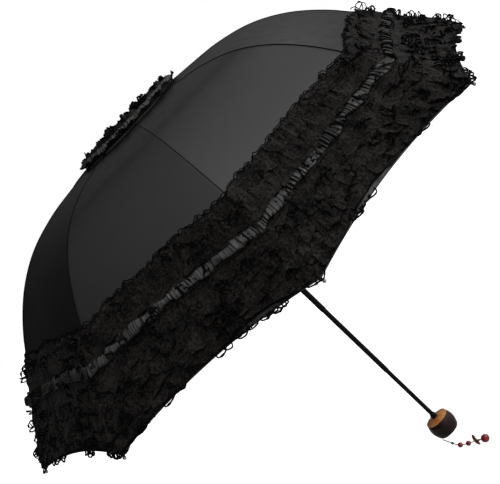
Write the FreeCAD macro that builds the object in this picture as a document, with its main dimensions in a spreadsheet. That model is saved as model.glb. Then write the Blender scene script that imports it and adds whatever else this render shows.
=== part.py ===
import FreeCAD, Part
import math
import os
import Sketcher

# Lace parasol, open. Origin: centre of the knob's flat end. +Z runs along the shaft towards the crown.
# Every rib works in its own upright plane through the shaft; the eight planes are 45 degrees apart.

doc = FreeCAD.newDocument("lace_parasol")
sheet = doc.addObject("Spreadsheet::Sheet", "Sizes")

SIZES = [
    ("rib_count", 8, "ribs and gores"),
    ("rim_height", 398, "rim plane above the knob's flat end"),
    ("notch_height", 634.6, "top rib hinges above the knob's flat end"),
    ("hinge_radius", 9, "top rib and stretcher hinges from the shaft axis"),
    ("slot_floor", 7.1, "bottom of the notch and runner slots from the axis"),
    ("flange_radius", 10.5, "notch and runner flanges"),
    ("flange_thick", 4.4, "notch and runner flanges"),
    ("top_tube_radius", 4.8, "outside"),
    ("tube_two_radius", 4.25, "outside"),
    ("tube_three_radius", 3.7, "outside"),
    ("handle_tube_radius", 3.15, "outside"),
    ("tube_wall", 0.5, "all four tubes"),
    ("tube_overlap", 25, "length of each tube held inside the next"),
    ("top_tube_foot", 400, "lower end of the top tube"),
    ("tube_two_foot", 261, "lower end of the second tube"),
    ("tube_three_foot", 131, "lower end of the third tube"),
    ("handle_tube_foot", 8, "lower end of the handle tube, in the knob"),
    ("running_gap", 0.06, "radial clearance of sliding and turned fits"),
    ("neck_radius", 6.4, "notch neck and runner sleeve"),
    ("neck_drop", 12, "notch neck below the hinges"),
    ("bar_size", 2.4, "side of the square top and tail rib bars"),
    ("top_slot_width", 2.8, "notch slots"),
    ("channel_width", 4.4, "outside of the folded steel channels"),
    ("channel_inside", 3.4, "inside of the folded steel channels"),
    ("channel_depth", 3.5, "height of the channel walls"),
    ("channel_web", 0.5, "web of the channels"),
    ("ear_radius", 1.8, "hinge ears"),
    ("ear_offset", 2.5, "hinge centres off the rib centre lines"),
    ("pin_hole", 0.75, "radius of the rivet holes"),
    ("pin_radius", 0.7, "rivets"),
    ("pin_length", 5, "rivets"),
    ("wire_radius", 0.5, "hinge wire in the notch"),
    ("wire_hole", 0.64, "hinge wire holes in the top ribs"),
    ("top_rib_length", 140.6, "notch hinge to first elbow"),
    ("stretcher_pivot", 80, "notch hinge to stretcher hinge"),
    ("stretcher_length", 92.47, "stretcher hinge to runner hinge"),
    ("middle_rib_length", 132.36, "first elbow to second elbow"),
    ("middle_bend", 295.7, "radius of the middle rib's curve"),
    ("tail_rib_length", 241.3, "second elbow to the end of the wire"),
    ("tail_bend", 3000, "radius of the tail rib's curve"),
    ("web_start", 6.5, "cut-back of the middle rib's web at both ends"),
    ("web_rise", 1.4, "rise of the middle rib's curve at the web's ends"),
    ("stretcher_web_start", 9, "cut-back of the stretcher's web at the top rib"),
    ("blade_length", 14, "flattened runner end of the stretcher"),
    ("blade_thick", 1.6, "flattened runner end of the stretcher"),
    ("blade_depth", 3, "flattened runner end of the stretcher"),
    ("axle_radius", 0.8, "stub axles of the stretcher"),
    ("axle_length", 4.8, "stub axles of the stretcher"),
    ("axle_groove", 0.95, "radius of the half-round grooves under the runner flange"),
    ("blade_slot", 2.1, "runner slots"),
    ("runner_open", 50, "runner hinges below the notch hinges, canopy open"),
    ("runner_sleeve", 24, "slim part of the runner sleeve"),
    ("runner_grip", 20, "length of the runner's grip"),
    ("grip_radius", 8, "runner grip"),
    ("catch_width", 3, "runner catch"),
    ("catch_length", 15, "runner catch"),
    ("catch_thick", 2, "runner catch"),
    ("tip_radius", 2.4, "ball tips"),
    ("tip_reach", 1.4, "ball centres beyond the rib ends"),
    ("tip_play", 0.3, "sockets of the ball tips wider than the rib bars"),
    ("cap_radius", 13, "crown cap"),
    ("cap_edge", 1.5, "height of the crown cap's rim"),
    ("cap_rise", 4.5, "height of the crown cap's dome"),
    ("crown_gap", 11, "crown cap above the notch hinges"),
    ("ferrule_radius", 4, "ferrule on the crown cap"),
    ("ferrule_height", 15, "ferrule's end above the cap's underside"),
    ("stud_radius", 1.5, "stud of the crown cap"),
    ("stud_hole", 1.6, "stud's hole in the notch"),
    ("stud_drop", 1.6, "stud's end above the notch hinges"),
    ("crown_hole", 3, "hole in the cover round the stud"),
    ("knob_end_radius", 16.2, "flat end of the knob"),
    ("knob_radius", 20.7, "widest part of the knob"),
    ("knob_height", 25.5, "knob body"),
    ("plate_radius", 18, "amber top plate of the knob"),
    ("plate_thick", 4.5, "amber top plate of the knob"),
    ("collar_radius", 4.6, "collar where the shaft leaves the knob"),
    ("collar_height", 7, "collar where the shaft leaves the knob"),
    ("fabric_thick", 0.8, "canopy cover and trimmings"),
    ("trim_gap", 0.3, "between the cover and the trimmings"),
    ("ruffle_radius", 84, "crown ruffle ring"),
    ("ruffle_section", 8, "radius of the ruffle ring's section"),
    ("ruffle_base", 243, "underside of the ruffle ring above the rim plane"),
    ("cord_radius", 0.7, "charm cord"),
    ("bead_bore", 1.15, "radius of the bead holes"),
    ("bead_radius", 3.9, "red beads"),
    ("crimp_radius", 2, "black crimp bead"),
    ("berry_radius", 6.4, "berry bead"),
    ("flower_radius", 9.5, "open end of the flower cap"),
    ("flower_root", 3, "closed end of the flower cap"),
    ("flower_length", 5, "flower cap"),
    ("stem_radius", 1, "stem between the flower cap and the berry"),
    ("stem_length", 10.5, "stem, from the flower cap's closed end to the berry"),
]

for row, (alias, value, note) in enumerate(SIZES, start=1):
    sheet.set(f"A{row}", note)
    sheet.set(f"B{row}", str(value))
    sheet.setAlias(f"B{row}", alias)
doc.recompute()
SIZE = {alias: float(value) for alias, value, note in SIZES}

# The cover along a rib: distance from the axis and height above the rim plane.
COVER = [(6, 246), (119, 240), (167, 234), (217, 219), (263, 193), (304, 157), (342, 112), (430, 0)]

TOP_ANGLE = -2.5      # slopes of the rib chords when the canopy is open, in degrees
MIDDLE_ANGLE = -22.47
TAIL_ANGLE = -49.3

# Charm cord in its own plane through the shaft: distance from the axis and height.
CHARM_PATH = [(-16.6, -2.6), (-10.4, -17.4), (-4.2, -28.2), (5.8, -35.6), (13, -40)]
CHARM_END = (13.9, -40.4)   # root of the flower cap
FLOWER_SLOPE = -8           # slopes of the flower cap and of its stem, in degrees
STEM_SLOPE = -32

kept = {}             # node name to the document object that is written


def read(formula):
    """Value of a sum of sizes and numbers, each word optionally a product such as bar_size*0.5."""
    total, sign = 0.0, 1
    for word in formula.split():
        if word in "+-":
            sign = -1 if word == "-" else 1
            continue
        product = 1.0
        for factor in word.split("*"):
            product *= SIZE[factor] if factor in SIZE else float(factor)
        total += sign * product
    return total


def bound(formula):
    """The same formula as an expression on the sheet."""
    words = []
    for word in formula.split():
        factors = ["Sizes." + f if f in SIZE else f for f in word.split("*")]
        words.append(" * ".join(factors))
    return " ".join(words)


def keep(node, obj):
    """Gives a finished sub-part its node name."""
    obj.Label = node
    kept[node] = obj
    return obj


def new_body(name):
    return doc.addObject("PartDesign::Body", name)


def new_sketch(body, role):
    sketch = body.newObject("Sketcher::SketchObject", body.Name + "_sketch")
    plane = [f for f in body.Origin.OriginFeatures if f.Role == role][0]
    sketch.AttachmentSupport = (plane, [""])
    sketch.MapMode = "FlatFace"
    return sketch


def pin_point(sketch, edge, end, across, up):
    """Fixes one end of an edge at a place given by two formulas."""
    if read(across) == 0:
        sketch.addConstraint(Sketcher.Constraint("PointOnObject", edge, end, -2))
    else:
        n = sketch.addConstraint(Sketcher.Constraint("DistanceX", -1, 1, edge, end, read(across)))
        sketch.setExpression(f"Constraints[{n}]", bound(across))
    if read(up) == 0:
        sketch.addConstraint(Sketcher.Constraint("PointOnObject", edge, end, -1))
    else:
        n = sketch.addConstraint(Sketcher.Constraint("DistanceY", -1, 1, edge, end, read(up)))
        sketch.setExpression(f"Constraints[{n}]", bound(up))


def draw_outline(sketch, outline):
    """Closed outline, drawn clockwise. A point is (across, up), or (across, up, radius) when the stretch that
    follows it is an arc bulging outwards, with "-" before the radius when it bulges inwards."""
    corners = [FreeCAD.Vector(read(p[0]), read(p[1]), 0) for p in outline]
    ends = []
    for i, point in enumerate(outline):
        here, there = corners[i], corners[(i + 1) % len(corners)]
        if len(point) == 2:
            sketch.addGeometry(Part.LineSegment(here, there), False)
            ends.append((1, 2))
            continue
        outwards = not point[2].startswith("-")
        radius = read(point[2].lstrip("-"))
        chord = there - here
        half = chord.Length / 2
        side = FreeCAD.Vector(-chord.y, chord.x, 0).normalize() * (1 if outwards else -1)
        centre = (here + there) * 0.5 - side * math.sqrt(max(radius**2 - half**2, 0))
        first, last = (there, here) if outwards else (here, there)
        angles = [math.atan2(p.y - centre.y, p.x - centre.x) for p in (first, last)]
        circle = Part.Circle(centre, FreeCAD.Vector(0, 0, 1), radius)
        edge = sketch.addGeometry(Part.ArcOfCircle(circle, angles[0], angles[1]), False)
        ends.append((2, 1) if outwards else (1, 2))
        if radius > half * 1.01:
            n = sketch.addConstraint(Sketcher.Constraint("Radius", edge, radius))
            sketch.setExpression(f"Constraints[{n}]", bound(point[2].lstrip("-")))
    for i in range(len(outline)):
        following = (i + 1) % len(outline)
        joint = Sketcher.Constraint("Coincident", i, ends[i][1], following, ends[following][0])
        sketch.addConstraint(joint)
    for i, point in enumerate(outline):
        pin_point(sketch, i, ends[i][0], point[0], point[1])


def draw_circles(sketch, circles):
    """Circles given as (across, up, radius)."""
    for across, up, radius in circles:
        centre = FreeCAD.Vector(read(across), read(up), 0)
        circle = Part.Circle(centre, FreeCAD.Vector(0, 0, 1), read(radius))
        edge = sketch.addGeometry(circle, False)
        n = sketch.addConstraint(Sketcher.Constraint("Radius", edge, read(radius)))
        sketch.setExpression(f"Constraints[{n}]", bound(radius))
        pin_point(sketch, edge, 3, across, up)


def turned(node, outline):
    """A piece turned about the shaft axis, from its half section (radius, height)."""
    body = new_body(node)
    sketch = new_sketch(body, "XZ_Plane")
    draw_outline(sketch, outline)
    turn = body.newObject("PartDesign::Revolution", node + "_turn")
    turn.Profile = sketch
    turn.ReferenceAxis = (sketch, ["V_Axis"])
    turn.Angle = 360
    return body


def plate(body, name, kind, outline, circles, thickness):
    """Pad or Pocket of a side view, centred on the rib's own plane."""
    sketch = new_sketch(body, "XZ_Plane")
    if outline:
        draw_outline(sketch, outline)
    draw_circles(sketch, circles)
    feature = body.newObject(kind, name)
    feature.Profile = sketch
    feature.SideType = "Symmetric"
    feature.setExpression("Length", bound(thickness))
    return feature


def cylinder(name, radius, length, place):
    """A cylinder along the local +Z of a placement."""
    made = doc.addObject("Part::Cylinder", name)
    made.setExpression("Radius", bound(radius))
    made.setExpression("Height", bound(length))
    made.Placement = place
    return made


def block(name, length, width, height, place):
    """A box with its corner at a placement."""
    made = doc.addObject("Part::Box", name)
    made.setExpression("Length", bound(length))
    made.setExpression("Width", bound(width))
    made.setExpression("Height", bound(height))
    made.Placement = place
    return made


def cut(name, base, tools):
    """Base less every tool."""
    tool = tools[0]
    if len(tools) > 1:
        tool = doc.addObject("Part::MultiFuse", name + "_tools")
        tool.Shapes = tools
    made = doc.addObject("Part::Cut", name)
    made.Base = base
    made.Tool = tool
    return made


def group(name, members):
    made = doc.addObject("Part::Compound", name)
    made.Links = members
    return made


def at(x, y, z, turn=FreeCAD.Rotation()):
    return FreeCAD.Placement(FreeCAD.Vector(x, y, z), turn)


def about(axis, degrees):
    return FreeCAD.Rotation(FreeCAD.Vector(*axis), degrees)


ACROSS = about((1, 0, 0), 90)   # turns a cylinder from +Z to lie across a rib plane


def rib_place(number, radius, height, slope):
    """Places a piece drawn along +X in rib plane number, at a hinge, sloping up by slope degrees."""
    plane = FreeCAD.Placement(FreeCAD.Vector(), about((0, 0, 1), (number - 1) * 360 / read("rib_count")))
    tilt = at(radius, 0, height, about((0, 1, 0), -slope))
    return plane.multiply(tilt)


def stepped(start, slope, along, offset):
    """Point reached from start by going along a slope and then off it at right angles."""
    a = math.radians(slope)
    return (start[0] + along * math.cos(a) - offset * math.sin(a),
            start[1] + along * math.sin(a) + offset * math.cos(a))


def rivet(name, along, up):
    """Rivet across a rib at a place in the rib's own side view."""
    return cylinder(name, "pin_radius", "pin_length", at(read(along), read("pin_length*0.5"), read(up), ACROSS))


def tube(node, outer, foot, top):
    """A straight tube about the shaft axis."""
    inner = outer + " - tube_wall"
    outline = [(inner, foot), (inner, top), (outer, top), (outer, foot)]
    keep(node, turned(node, outline))


def flange_slots(name, width, height, base):
    """Eight radial slots through a flange, as cutting boxes."""
    boxes = []
    for number in range(1, int(read("rib_count")) + 1):
        place = rib_place(number, 0, 0, 0).multiply(at(read("slot_floor"), -read(width) / 2, base))
        boxes.append(block(f"{name}_{number}", "flange_radius", width, height, place))
    return boxes


def make_tubes():
    tube("top_tube", "top_tube_radius", "top_tube_foot", "notch_height + 1.2")
    tube("tube_2", "tube_two_radius", "tube_two_foot", "top_tube_foot + tube_overlap")
    tube("tube_3", "tube_three_radius", "tube_three_foot", "tube_two_foot + tube_overlap")
    tube("handle_tube", "handle_tube_radius", "handle_tube_foot", "tube_three_foot + tube_overlap")


def make_notch():
    bore = "top_tube_radius + running_gap"
    under, over = "notch_height - flange_thick*0.5", "notch_height + flange_thick*0.5"
    turned_notch = turned("notch_blank", [
        (bore, "notch_height - neck_drop"), (bore, "notch_height + 1.4"),
        ("stud_hole", "notch_height + 1.4"), ("stud_hole", "notch_height + 4"),
        ("neck_radius", "notch_height + 4"), ("neck_radius", over),
        ("flange_radius", over), ("flange_radius", under),
        ("neck_radius", under), ("neck_radius", "notch_height - neck_drop")])
    slots = flange_slots("notch_slot", "top_slot_width", "flange_thick + 2",
                         read("notch_height - flange_thick*0.5") - 1)
    groove = doc.addObject("Part::Torus", "wire_groove")
    groove.setExpression("Radius1", bound("hinge_radius"))
    groove.setExpression("Radius2", bound("wire_radius + running_gap"))
    groove.Placement = at(0, 0, read("notch_height"))
    keep("top_notch", cut("top_notch", turned_notch, slots + [groove]))
    wire = doc.addObject("Part::Torus", "notch_wire")
    wire.setExpression("Radius1", bound("hinge_radius"))
    wire.setExpression("Radius2", bound("wire_radius"))
    wire.Placement = at(0, 0, read("notch_height"))
    keep("notch_wire", wire)


def make_cap():
    """Crown cap: a shallow dome with a ferrule, and a stud that goes down into the notch."""
    under = "notch_height + crown_gap"
    end = "notch_height + stud_drop"
    top = under + " + ferrule_height"
    keep("crown_cap", turned("crown_cap", [
        ("0", end), ("0", top), ("ferrule_radius - 1.5", top + " - 1"),
        ("ferrule_radius", top + " - 6"), ("ferrule_radius", under + " + cap_rise"),
        ("cap_radius", under + " + cap_edge"), ("cap_radius", under), ("stud_radius", under),
        ("stud_radius", end)]))


def make_runner():
    """Runner: slotted flange with half-round grooves under it, slim sleeve, grip and catch."""
    pivot = "notch_height - runner_open"
    bore = "top_tube_radius + running_gap"
    waist = pivot + " - runner_sleeve"
    foot = waist + " - runner_grip"
    blank = turned("runner_blank", [
        (bore, foot), (bore, pivot + " + flange_thick"),
        ("flange_radius", pivot + " + flange_thick"), ("flange_radius", pivot),
        ("neck_radius", pivot), ("neck_radius", waist), ("grip_radius", waist + " - 2"),
        ("grip_radius", foot)])
    slots = flange_slots("runner_slot", "blade_slot", "flange_thick + 2", read(pivot) - 1)
    for number in range(1, int(read("rib_count")) + 1):
        place = rib_place(number, read("hinge_radius"), read(pivot), 0)
        place = place.multiply(at(0, read("axle_length") / 2 + 0.2, 0, ACROSS))
        slots.append(cylinder(f"axle_groove_{number}", "axle_groove", "axle_length + 0.4", place))
    half_turn = FreeCAD.Placement(FreeCAD.Vector(), about((0, 0, 1), 180 / read("rib_count")))
    seat = at(read("neck_radius") - 0.6, -read("catch_width") / 2 - 0.1, read(foot) + 1.5)
    slots.append(block("catch_seat", "grip_radius", "catch_width + 0.2", "catch_length + 0.6",
                       half_turn.multiply(seat)))
    keep("runner", cut("runner", blank, slots))
    lever = at(read("neck_radius") + 0.4, -read("catch_width") / 2, read(foot) + 1.8)
    keep("runner_catch", block("runner_catch", "catch_thick", "catch_width", "catch_length",
                               half_turn.multiply(lever)))


def make_knob():
    """Barrel knob: flat end, swelling body, domed top plate and a collar round the handle tube."""
    bore = "handle_tube_radius + running_gap"
    top = "knob_height + plate_thick"
    keep("knob_body", turned("knob_body", [
        ("0", "0"), ("0", "handle_tube_foot - 0.1"), (bore, "handle_tube_foot - 0.1"),
        (bore, "knob_height"), ("plate_radius + 0.4", "knob_height", "30"),
        ("knob_radius", "15.5"), ("knob_radius - 0.2", "11.5", "40"),
        ("knob_end_radius + 0.8", "1"), ("knob_end_radius", "0")]))
    keep("knob_top_plate", turned("knob_top_plate", [
        (bore, "knob_height + 0.02"), (bore, top), ("collar_radius", top, "40"),
        ("plate_radius", "knob_height + 2.2"), ("plate_radius", "knob_height + 0.02")]))
    keep("knob_collar", turned("knob_collar", [
        (bore, top + " + 0.02"), (bore, top + " + collar_height"),
        ("collar_radius - 1", top + " + collar_height"), ("collar_radius", top + " + collar_height - 1.5"),
        ("collar_radius", top + " + 0.02")]))


def make_top_rib(number):
    """Square bar with an ear on its upper side for the first elbow."""
    half = "bar_size*0.5"
    body = new_body(f"top_bar_{number}")
    near, far = "top_rib_length - ear_radius", "top_rib_length + ear_radius"
    plate(body, f"top_bar_pad_{number}", "PartDesign::Pad", [
        ("0 - 1.3", "0 - " + half), ("0 - 1.3", half), (near, half),
        (near, "ear_offset", "ear_radius"), (far, "ear_offset"), (far, "0 - " + half)], [], "bar_size")
    plate(body, f"top_bar_holes_{number}", "PartDesign::Pocket", None, [
        ("0", "0", "wire_hole"), ("stretcher_pivot", "0", "pin_hole"),
        ("top_rib_length", "ear_offset", "pin_hole")], "bar_size + 1")
    pins = [rivet(f"top_pin_a_{number}", "stretcher_pivot", "0"),
            rivet(f"top_pin_b_{number}", "top_rib_length", "ear_offset")]
    rib = group(f"top_rib_{number}", [body] + pins)
    rib.Placement = rib_place(number, read("hinge_radius"), read("notch_height"), TOP_ANGLE)
    keep(f"top_rib_{number}", rib)


def make_stretcher(number):
    """Folded channel, open on the side away from the crown, flattened to a blade at the runner."""
    half = "channel_depth*0.5"
    body = new_body(f"stretcher_{number}")
    last = "stretcher_length - blade_length"
    plate(body, f"stretcher_pad_{number}", "PartDesign::Pad", [
        ("0 - ear_radius", "0 - " + half), ("0 - ear_radius", half), (last, half), (last, "0 - " + half)],
        [], "channel_width")
    plate(body, f"stretcher_hollow_{number}", "PartDesign::Pocket", [
        ("0 - 3", "0 - 4"), ("0 - 3", "4"), (last + " - 4", "4"),
        (last + " - 4", "channel_web - " + half), ("stretcher_web_start", "channel_web - " + half),
        ("stretcher_web_start", "0 - 4")], [], "channel_inside")
    plate(body, f"stretcher_hole_{number}", "PartDesign::Pocket", None, [("0", "0", "pin_hole")],
          "channel_width + 1")
    plate(body, f"stretcher_blade_{number}", "PartDesign::Pad", [
        (last + " - 2", "0 - blade_depth*0.5"), (last + " - 2", "blade_depth*0.5"),
        ("stretcher_length", "blade_depth*0.5", "blade_depth*0.5"),
        ("stretcher_length", "0 - blade_depth*0.5")], [], "blade_thick")
    plate(body, f"stretcher_axle_{number}", "PartDesign::Pad", None,
          [("stretcher_length", "0", "axle_radius")], "axle_length")
    hinge = (read("hinge_radius"), read("notch_height"))
    pivot = stepped(hinge, TOP_ANGLE, read("stretcher_pivot"), 0)
    drop = pivot[1] - (hinge[1] - read("runner_open"))
    slope = math.degrees(math.atan2(-drop, hinge[0] - pivot[0]))
    body.Placement = rib_place(number, pivot[0], pivot[1], slope)
    keep(f"stretcher_{number}", body)


def elbows():
    """First and second elbow, as (distance from the axis, height)."""
    first = stepped((read("hinge_radius"), read("notch_height")), TOP_ANGLE,
                    read("top_rib_length"), read("ear_offset"))
    second = stepped(first, MIDDLE_ANGLE, read("middle_rib_length"), -2 * read("ear_offset"))
    return first, second


def make_middle_rib(number):
    """Curved folded channel, open below, forked over the top rib and over the tail rib."""
    body = new_body(f"middle_channel_{number}")
    over, below = "channel_depth*0.5 - ear_offset", "0 - channel_depth*0.5 - ear_offset"
    last = "middle_rib_length"
    plate(body, f"middle_pad_{number}", "PartDesign::Pad", [
        ("0 - ear_radius", "0", "ear_radius"), ("ear_radius", "0"), ("3", over, "middle_bend"),
        (last + " + ear_radius", over), (last + " + ear_radius", "0 - ear_offset*2", "ear_radius"),
        (last + " - ear_radius", "0 - ear_offset*2"), (last + " - 3", below, "-middle_bend"),
        ("0 - ear_radius", below)], [], "channel_width")
    ceiling = over + " - channel_web + web_rise"
    plate(body, f"middle_hollow_{number}", "PartDesign::Pocket", [
        ("0 - 4", "0 - 12"), ("0 - 4", "8"), ("web_start", "8"), ("web_start", ceiling, "middle_bend"),
        (last + " - web_start", ceiling), (last + " - web_start", "8"), (last + " + 4", "8"),
        (last + " + 4", "0 - 12")], [], "channel_inside")
    plate(body, f"middle_holes_{number}", "PartDesign::Pocket", None, [
        ("0", "0", "pin_hole"), (last, "0 - ear_offset*2", "pin_hole")], "channel_width + 1")
    rib = group(f"middle_rib_{number}", [body, rivet(f"middle_pin_{number}", last, "0 - ear_offset*2")])
    first, second = elbows()
    rib.Placement = rib_place(number, first[0], first[1], MIDDLE_ANGLE)
    keep(f"middle_rib_{number}", rib)


def make_tail_rib(number):
    """Slightly curved spring bar with an ear below it for the second elbow, and its ball tip."""
    body = new_body(f"tail_rib_{number}")
    over, below = "ear_offset + bar_size*0.5", "ear_offset - bar_size*0.5"
    plate(body, f"tail_pad_{number}", "PartDesign::Pad", [
        ("0 - ear_radius", "0"), ("0 - ear_radius", over, "tail_bend"), ("tail_rib_length", over),
        ("tail_rib_length", below, "-tail_bend"), ("ear_radius", below), ("ear_radius", "0", "ear_radius")],
        [], "bar_size")
    plate(body, f"tail_hole_{number}", "PartDesign::Pocket", None, [("0", "0", "pin_hole")], "bar_size + 1")
    first, second = elbows()
    place = rib_place(number, second[0], second[1], TAIL_ANGLE)
    body.Placement = place
    keep(f"tail_rib_{number}", body)
    ball = doc.addObject("Part::Sphere", f"ball_{number}")
    ball.setExpression("Radius", bound("tip_radius"))
    ball.Placement = place.multiply(at(read("tail_rib_length + tip_reach"), 0, read("ear_offset")))
    side, depth = "bar_size + tip_play", "tip_radius + tip_play"
    corner = at(read("tail_rib_length - tip_radius"), -read(side) / 2, read("ear_offset") - read(side) / 2)
    socket = block(f"socket_{number}", depth, side, side, place.multiply(corner))
    keep(f"rib_tip_{number}", cut(f"rib_tip_{number}", ball, [socket]))


def octagon(radius, height):
    """Wire through the eight rib lines at one distance from the axis."""
    points = []
    for number in range(int(read("rib_count")) + 1):
        turn = 2 * math.pi * number / read("rib_count")
        points.append(FreeCAD.Vector(radius * math.cos(turn), radius * math.sin(turn), height))
    return Part.makePolygon(points)


def shell(rings, thickness, lift):
    """Open eight-sided shell of the cover's shape between two of its rings, lifted off it by lift."""
    def skin(offset, stretch):
        wires = []
        for k, (radius, rise) in enumerate(rings):
            before, after = rings[max(k - 1, 0)], rings[min(k + 1, len(rings) - 1)]
            run, fall = after[0] - before[0], before[1] - after[1]
            size = math.hypot(run, fall)
            extra = stretch if k in (0, len(rings) - 1) else 0
            along = extra * (-1 if k == 0 else 1)
            wires.append(octagon(radius + offset * fall / size + along * run / size,
                                 read("rim_height") + rise + offset * run / size - along * fall / size))
        return Part.makeLoft(wires, True, True)
    return skin(lift, 0).cut(skin(lift - thickness, 2))


def shell_part(node, rings, lift):
    """Shell as a document object, with a hole for the crown cap's stud."""
    foot = FreeCAD.Vector(0, 0, read("rim_height"))
    hole = Part.makeCylinder(read("crown_hole"), read("notch_height"), foot)
    feature = doc.addObject("Part::Feature", node)
    feature.Shape = shell(rings, read("fabric_thick"), lift).cut(hole)
    keep(node, feature)


def between(start, share):
    """Point on the cover's slope, a share of the way from one of its rings to the next."""
    a, b = COVER[start], COVER[start + 1]
    return (a[0] + share * (b[0] - a[0]), a[1] + share * (b[1] - a[1]))


def make_cover():
    """Cover, lace flounce and ribbon strip as plain shells, and the crown ruffle as a ring."""
    step = read("fabric_thick + trim_gap")
    shell_part("canopy_cover", COVER, 0)
    shell_part("lace_flounce", [between(5, 0.6)] + COVER[6:], step)
    shell_part("ribbon_strip", [between(6, 0.32), between(6, 0.48)], 2 * step)
    ring = doc.addObject("Part::Torus", "crown_ruffle")
    ring.setExpression("Radius1", bound("ruffle_radius"))
    ring.setExpression("Radius2", bound("ruffle_section"))
    ring.Placement = at(0, 0, read("rim_height + ruffle_base + ruffle_section"))
    keep("crown_ruffle", ring)


def bead(name, radius, spine, point):
    """Ball with a bore along the cord, threaded at a point of the cord's spine."""
    centre = FreeCAD.Vector(point[0], 0, point[1])
    ball = doc.addObject("Part::Sphere", name + "_ball")
    ball.setExpression("Radius", bound(radius))
    ball.Placement.Base = centre
    ahead = spine.tangent(spine.parameter(centre))[0]
    turn = FreeCAD.Rotation(FreeCAD.Vector(0, 0, 1), ahead)
    start = FreeCAD.Placement(centre, turn).multiply(at(0, 0, -2 * read(radius)))
    return cut(name, ball, [cylinder(name + "_bore", "bead_bore", radius + "*4", start)])


def make_charm():
    """Charm: cord through the crimp and the red beads, then flower cap and berry on its end."""
    points = [FreeCAD.Vector(x, 0, z) for x, z in CHARM_PATH]
    spine = Part.BSplineCurve()
    spine.interpolate(points)
    ahead = spine.tangent(spine.FirstParameter)[0]
    ring = Part.Wire(Part.makeCircle(read("cord_radius"), points[0], ahead))
    cord = doc.addObject("Part::Feature", "charm_cord")
    cord.Shape = Part.Wire(spine.toShape()).makePipeShell([ring], True, False)
    keep("charm_cord", cord)
    beads = [bead("crimp", "crimp_radius", spine, CHARM_PATH[1]),
             bead("bead_one", "bead_radius", spine, CHARM_PATH[2]),
             bead("bead_two", "bead_radius", spine, CHARM_PATH[3])]
    keep("charm_beads", group("charm_beads", beads))
    cap = doc.addObject("Part::Cone", "flower_cap")
    cap.setExpression("Radius1", bound("flower_root"))
    cap.setExpression("Radius2", bound("flower_radius"))
    cap.setExpression("Height", bound("flower_length"))
    cap.Placement = at(CHARM_END[0], 0, CHARM_END[1], about((0, 1, 0), 90 - FLOWER_SLOPE))
    end = at(CHARM_END[0], 0, CHARM_END[1], about((0, 1, 0), 90 - STEM_SLOPE))
    stem = cylinder("flower_stem", "stem_radius", "stem_length - 1", end.multiply(at(0, 0, 1)))
    flower = doc.addObject("Part::Fuse", "charm_flower")
    flower.Base = cap
    flower.Tool = stem
    keep("charm_flower", flower)
    berry = doc.addObject("Part::Sphere", "charm_berry")
    berry.setExpression("Radius", bound("berry_radius"))
    berry.Placement = end.multiply(at(0, 0, read("stem_length + berry_radius") + 0.1))
    keep("charm_berry", berry)


def check(obj):
    if any(word in obj.State for word in ("Invalid", "Error")):
        raise RuntimeError(f"{obj.Name} is {obj.State}")


def write_parts():
    doc.recompute()
    for obj in doc.Objects:
        check(obj)
    for node, obj in kept.items():
        if obj.Shape.isNull() or not obj.Shape.isValid() or not obj.Shape.Solids:
            raise RuntimeError(f"{node} has no valid shape")
    os.makedirs("parts", exist_ok=True)
    for node, obj in kept.items():
        obj.Shape.exportStep(f"parts/{node}.step")
    print(len(kept), "sub-parts written")


make_tubes()
make_notch()
make_cap()
make_runner()
make_knob()
for rib_number in range(1, int(read("rib_count")) + 1):
    make_top_rib(rib_number)
    make_stretcher(rib_number)
    make_middle_rib(rib_number)
    make_tail_rib(rib_number)
make_cover()
make_charm()
write_parts()
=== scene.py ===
import math

import bpy
import numpy as np
from mathutils import Matrix, Vector


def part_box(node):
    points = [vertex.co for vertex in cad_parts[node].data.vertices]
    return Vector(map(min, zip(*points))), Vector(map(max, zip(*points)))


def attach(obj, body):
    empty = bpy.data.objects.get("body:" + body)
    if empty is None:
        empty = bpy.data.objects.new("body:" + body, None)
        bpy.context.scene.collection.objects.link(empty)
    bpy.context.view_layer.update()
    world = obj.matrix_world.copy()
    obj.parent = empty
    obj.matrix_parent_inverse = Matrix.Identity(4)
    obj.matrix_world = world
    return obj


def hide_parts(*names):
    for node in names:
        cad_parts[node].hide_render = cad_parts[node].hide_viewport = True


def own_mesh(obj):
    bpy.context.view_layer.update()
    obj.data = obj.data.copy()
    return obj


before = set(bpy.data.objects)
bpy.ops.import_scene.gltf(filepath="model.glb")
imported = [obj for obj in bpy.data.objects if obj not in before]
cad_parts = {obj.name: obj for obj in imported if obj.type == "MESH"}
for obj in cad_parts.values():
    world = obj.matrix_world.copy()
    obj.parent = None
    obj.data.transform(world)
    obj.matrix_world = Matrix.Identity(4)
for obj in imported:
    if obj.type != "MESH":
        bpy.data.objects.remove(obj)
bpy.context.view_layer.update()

# ---------------------------------------------------------------------------------------------------------------------
# Sizes, taken from the frame
# ---------------------------------------------------------------------------------------------------------------------
RIBS = 8
GORE = 2 * math.pi / RIBS
COVER_LOW, COVER_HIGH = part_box("canopy_cover")
RIM_RADIUS = COVER_HIGH.x
RIM_Z = COVER_LOW.z
CROWN_Z = COVER_HIGH.z

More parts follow.
